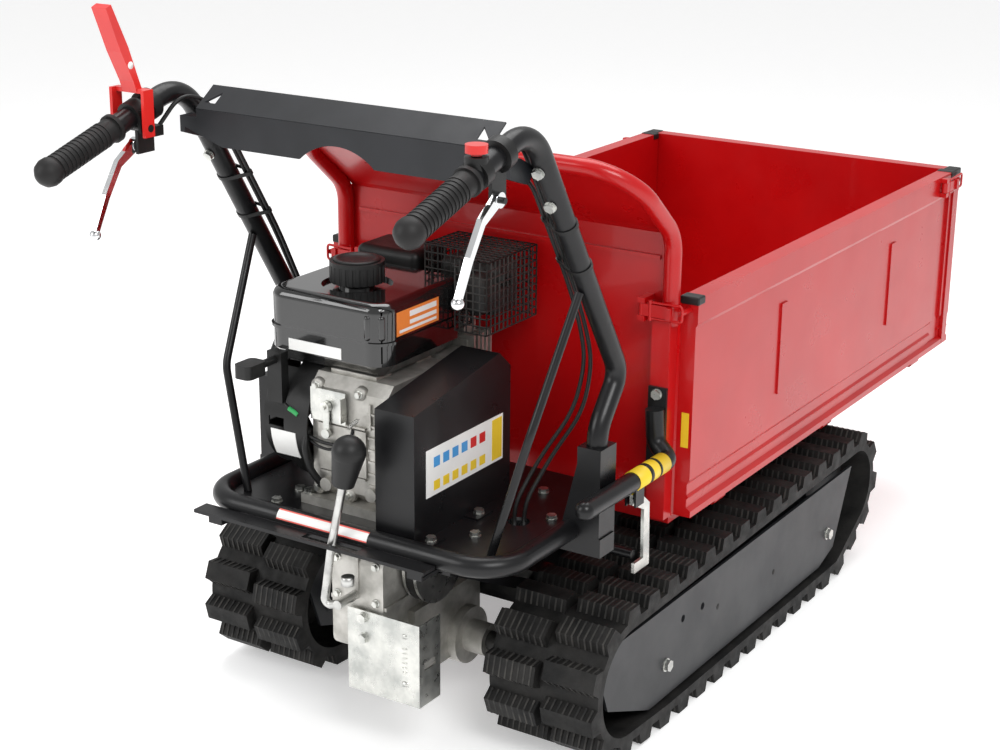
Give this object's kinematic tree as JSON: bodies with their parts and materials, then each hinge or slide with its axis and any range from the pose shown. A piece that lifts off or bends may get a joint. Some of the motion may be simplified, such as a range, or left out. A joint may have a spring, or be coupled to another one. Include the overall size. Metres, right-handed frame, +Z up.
{
  "type": "power wheelbarrow",
  "caption": "Tracked petrol mini dumper: tipping steel load box with drop sides, rubber tracks, engine at the rear and bent walk-behind handlebars.",
  "frame": {"origin": "centre of the bounding box at ground level, under the tracks", "axes": "+X forward towards the front of the load box, +Y to the operator's left, +Z up"},
  "size_m": [1.7601, 0.702, 1.068],
  "materials": {
    "black_paint": "satin powder coat",
    "dark_panel": "matte powder coat",
    "red_paint": "gloss",
    "red_lever": "gloss",
    "black_plastic": "moulded",
    "black_gloss": "high gloss",
    "grip_rubber": "moulded ribs",
    "track_rubber": "scuffed rubber",
    "belt_rubber": "fabric faced",
    "cast_alloy": "as cast",
    "zinc": "zinc plated",
    "dark_steel": "satin",
    "chrome": "bright"
  },
  "bodies": {
    "chassis": {"main_frame": "black_paint", "deck_plate": "black_paint", "deck_rail": "black_paint", "control_panel": "dark_panel", "control_clamps": "black_plastic", "control_cables": "black_plastic", "engine_block": "cast_alloy", "cylinder_head": "cast_alloy", "recoil_housing": "black_gloss", "fuel_tank": "black_gloss", "air_cleaner": "black_plastic", "carburettor": "cast_alloy", "throttle_bracket": "zinc", "muffler": "dark_steel", "muffler_guard": "black_paint", "belt_cover": "black_paint", "v_belt": "belt_rubber", "gearbox": "cast_alloy", "gearbox_guard": "zinc", "machine_bolts": "zinc", "handlebars": "black_paint", "hand_grips": "grip_rubber", "track_frames": "black_paint", "rubber_tracks": "track_rubber"},
    "load_box": {"box_floor": "red_paint", "rear_wall": "red_paint", "tip_handle": "black_paint", "handle_bolts": "zinc"},
    "front_panel": {"front_panel": "red_paint"},
    "side_left": {"side_panel_left": "red_paint"},
    "side_right": {"side_panel_right": "red_paint"},
    "gear_lever": {"gear_lever": "zinc", "gear_knob": "black_plastic"},
    "rear_latch_left": {"rear_latch_left": "red_paint"},
    "rear_latch_right": {"rear_latch_right": "red_paint"},
    "front_latch_left": {"front_latch_left": "red_paint"},
    "front_latch_right": {"front_latch_right": "red_paint"},
    "latch_hook": {"latch_hook": "zinc"},
    "steering_lever_left": {"steering_lever_left": "chrome"},
    "steering_lever_right": {"steering_lever_right": "chrome"},
    "clutch_lever": {"clutch_lever": "red_lever"},
    "stop_button": {"stop_button": "red_lever"},
    "fuel_cap": {"fuel_cap": "black_plastic"},
    "recoil_grip": {"recoil_grip": "black_plastic"},
    "throttle_lever": {"throttle_lever": "zinc"},
    "choke_lever": {"choke_lever": "black_plastic"},
    "engine_pulley": {"engine_pulley": "zinc"},
    "gearbox_pulley": {"gearbox_pulley": "zinc"},
    "idler_arm": {"idler_arm": "zinc"},
    "idler_roller": {"idler_roller": "zinc"},
    "drive_sprocket_left": {"drive_sprocket_left": "dark_steel"},
    "drive_sprocket_right": {"drive_sprocket_right": "dark_steel"},
    "front_idler_left": {"front_idler_left": "dark_steel"},
    "front_idler_right": {"front_idler_right": "dark_steel"},
    "rear_roller_left": {"rear_roller_left": "dark_steel"},
    "rear_roller_right": {"rear_roller_right": "dark_steel"},
    "middle_roller_left": {"middle_roller_left": "dark_steel"},
    "middle_roller_right": {"middle_roller_right": "dark_steel"},
    "front_roller_left": {"front_roller_left": "dark_steel"},
    "front_roller_right": {"front_roller_right": "dark_steel"}
  },
  "joints": [
    {"name": "box_tip", "type": "hinge", "parent": "chassis", "child": "load_box", "pos_m": [0.59006, 0, 0.262], "axis": [0, 1, 0], "range_deg": [0, 55]},
    {"name": "side_left_drop", "type": "hinge", "parent": "load_box", "child": "side_left", "pos_m": [0.32206, 0.316, 0.291], "axis": [-1, 0, 0], "range_deg": [0, 90]},
    {"name": "side_right_drop", "type": "hinge", "parent": "load_box", "child": "side_right", "pos_m": [0.32206, -0.316, 0.291], "axis": [1, 0, 0], "range_deg": [0, 90]},
    {"name": "front_drop", "type": "hinge", "parent": "load_box", "child": "front_panel", "pos_m": [0.86606, 0, 0.291], "axis": [0, -1, 0], "range_deg": [-90, 0]},
    {"name": "rear_latch_left_turn", "type": "hinge", "parent": "load_box", "child": "rear_latch_left", "pos_m": [-0.23594, 0.255, 0.62], "axis": [0, 0, 1], "range_deg": [0, 110]},
    {"name": "rear_latch_right_turn", "type": "hinge", "parent": "load_box", "child": "rear_latch_right", "pos_m": [-0.23594, -0.255, 0.62], "axis": [0, 0, -1], "range_deg": [0, 110]},
    {"name": "front_latch_left_turn", "type": "hinge", "parent": "side_left", "child": "front_latch_left", "pos_m": [0.78006, 0.337, 0.62], "axis": [0, 0, 1], "range_deg": [0, 110]},
    {"name": "front_latch_right_turn", "type": "hinge", "parent": "side_right", "child": "front_latch_right", "pos_m": [0.78006, -0.337, 0.62], "axis": [0, 0, -1], "range_deg": [0, 110]},
    {"name": "latch_hook_swing", "type": "hinge", "parent": "load_box", "child": "latch_hook", "pos_m": [-0.35994, -0.318, 0.38], "axis": [0, -1, 0], "range_deg": [0, 20], "stiffness_Nm_per_rad": 0.3},
    {"name": "steering_left_pull", "type": "hinge", "parent": "chassis", "child": "steering_lever_left", "pos_m": [-0.68794, 0.294, 0.872], "axis": [0, 1, 0], "range_deg": [0, 32], "stiffness_Nm_per_rad": 0.5},
    {"name": "steering_right_pull", "type": "hinge", "parent": "chassis", "child": "steering_lever_right", "pos_m": [-0.68794, -0.294, 0.872], "axis": [0, 1, 0], "range_deg": [0, 32], "stiffness_Nm_per_rad": 0.5},
    {"name": "clutch_lever_pull", "type": "hinge", "parent": "chassis", "child": "clutch_lever", "pos_m": [-0.69994, 0.285, 0.9], "axis": [0, -1, 0], "range_deg": [0, 50], "stiffness_Nm_per_rad": 2, "springref_deg": -17.19},
    {"name": "idler_arm_swing", "type": "hinge", "parent": "chassis", "child": "idler_arm", "pos_m": [-0.39994, -0.047, 0.425], "axis": [0, 1, 0], "range_deg": [0, 7.6]},
    {"name": "idler_roller_spin", "type": "hinge", "parent": "idler_arm", "child": "idler_roller", "pos_m": [-0.40444, -0.067, 0.365], "axis": [0, 1, 0], "continuous": true},
    {"name": "engine_pulley_spin", "type": "hinge", "parent": "chassis", "child": "engine_pulley", "pos_m": [-0.46494, -0.068, 0.455], "axis": [0, 1, 0], "continuous": true},
    {"name": "gearbox_pulley_spin", "type": "hinge", "parent": "chassis", "child": "gearbox_pulley", "pos_m": [-0.49994, -0.068, 0.275], "axis": [0, 1, 0], "continuous": true},
    {"name": "drive_left_spin", "type": "hinge", "parent": "chassis", "child": "drive_sprocket_left", "pos_m": [-0.41194, 0.26, 0.121], "axis": [0, 1, 0], "continuous": true},
    {"name": "front_idler_left_spin", "type": "hinge", "parent": "chassis", "child": "front_idler_left", "pos_m": [0.40006, 0.26, 0.148], "axis": [0, 1, 0], "continuous": true},
    {"name": "rear_roller_left_spin", "type": "hinge", "parent": "chassis", "child": "rear_roller_left", "pos_m": [-0.28994, 0.26, 0.06], "axis": [0, 1, 0], "continuous": true},
    {"name": "middle_roller_left_spin", "type": "hinge", "parent": "chassis", "child": "middle_roller_left", "pos_m": [0.02006, 0.26, 0.06], "axis": [0, 1, 0], "continuous": true},
    {"name": "front_roller_left_spin", "type": "hinge", "parent": "chassis", "child": "front_roller_left", "pos_m": [0.33006, 0.26, 0.06], "axis": [0, 1, 0], "continuous": true},
    {"name": "drive_right_spin", "type": "hinge", "parent": "chassis", "child": "drive_sprocket_right", "pos_m": [-0.41194, -0.26, 0.121], "axis": [0, 1, 0], "continuous": true},
    {"name": "front_idler_right_spin", "type": "hinge", "parent": "chassis", "child": "front_idler_right", "pos_m": [0.40006, -0.26, 0.148], "axis": [0, 1, 0], "continuous": true},
    {"name": "rear_roller_right_spin", "type": "hinge", "parent": "chassis", "child": "rear_roller_right", "pos_m": [-0.28994, -0.26, 0.06], "axis": [0, 1, 0], "continuous": true},
    {"name": "middle_roller_right_spin", "type": "hinge", "parent": "chassis", "child": "middle_roller_right", "pos_m": [0.02006, -0.26, 0.06], "axis": [0, 1, 0], "continuous": true},
    {"name": "front_roller_right_spin", "type": "hinge", "parent": "chassis", "child": "front_roller_right", "pos_m": [0.33006, -0.26, 0.06], "axis": [0, 1, 0], "continuous": true},
    {"name": "gear_shift", "type": "hinge", "parent": "chassis", "child": "gear_lever", "pos_m": [-0.60994, -0.002, 0.241], "axis": [1, 0, 0], "range_deg": [-18, 18]},
    {"name": "fuel_cap_turn", "type": "hinge", "parent": "chassis", "child": "fuel_cap", "pos_m": [-0.45994, 0.092, 0.675], "axis": [0, 0, 1], "range_deg": [0, 90]},
    {"name": "recoil_pull", "type": "slide", "parent": "chassis", "child": "recoil_grip", "axis": [-1, 0, 0], "range_m": [0, 0.6], "stiffness_N_per_m": 20, "springref_m": -0.1},
    {"name": "throttle_turn", "type": "hinge", "parent": "chassis", "child": "throttle_lever", "pos_m": [-0.56194, 0.075, 0.498], "axis": [1, 0, 0], "range_deg": [-30, 30]},
    {"name": "choke_turn", "type": "hinge", "parent": "chassis", "child": "choke_lever", "pos_m": [-0.30994, 0.153, 0.52], "axis": [0, 1, 0], "range_deg": [0, 60]},
    {"name": "stop_press", "type": "slide", "parent": "chassis", "child": "stop_button", "axis": [0, 0, -1], "range_m": [0, 0.004], "stiffness_N_per_m": 300, "springref_m": -0.002}
  ],
  "couplings": [
    {"joint": "idler_arm_swing", "follows": "clutch_lever_pull", "ratio": 0.152},
    {"joint": "gearbox_pulley_spin", "follows": "engine_pulley_spin", "ratio": 0.59649},
    {"joint": "front_idler_left_spin", "follows": "drive_left_spin", "ratio": 1.1857},
    {"joint": "rear_roller_left_spin", "follows": "drive_left_spin", "ratio": 2.9643},
    {"joint": "middle_roller_left_spin", "follows": "drive_left_spin", "ratio": 2.9643},
    {"joint": "front_roller_left_spin", "follows": "drive_left_spin", "ratio": 2.9643},
    {"joint": "front_idler_right_spin", "follows": "drive_right_spin", "ratio": 1.1857},
    {"joint": "rear_roller_right_spin", "follows": "drive_right_spin", "ratio": 2.9643},
    {"joint": "middle_roller_right_spin", "follows": "drive_right_spin", "ratio": 2.9643},
    {"joint": "front_roller_right_spin", "follows": "drive_right_spin", "ratio": 2.9643}
  ]
}
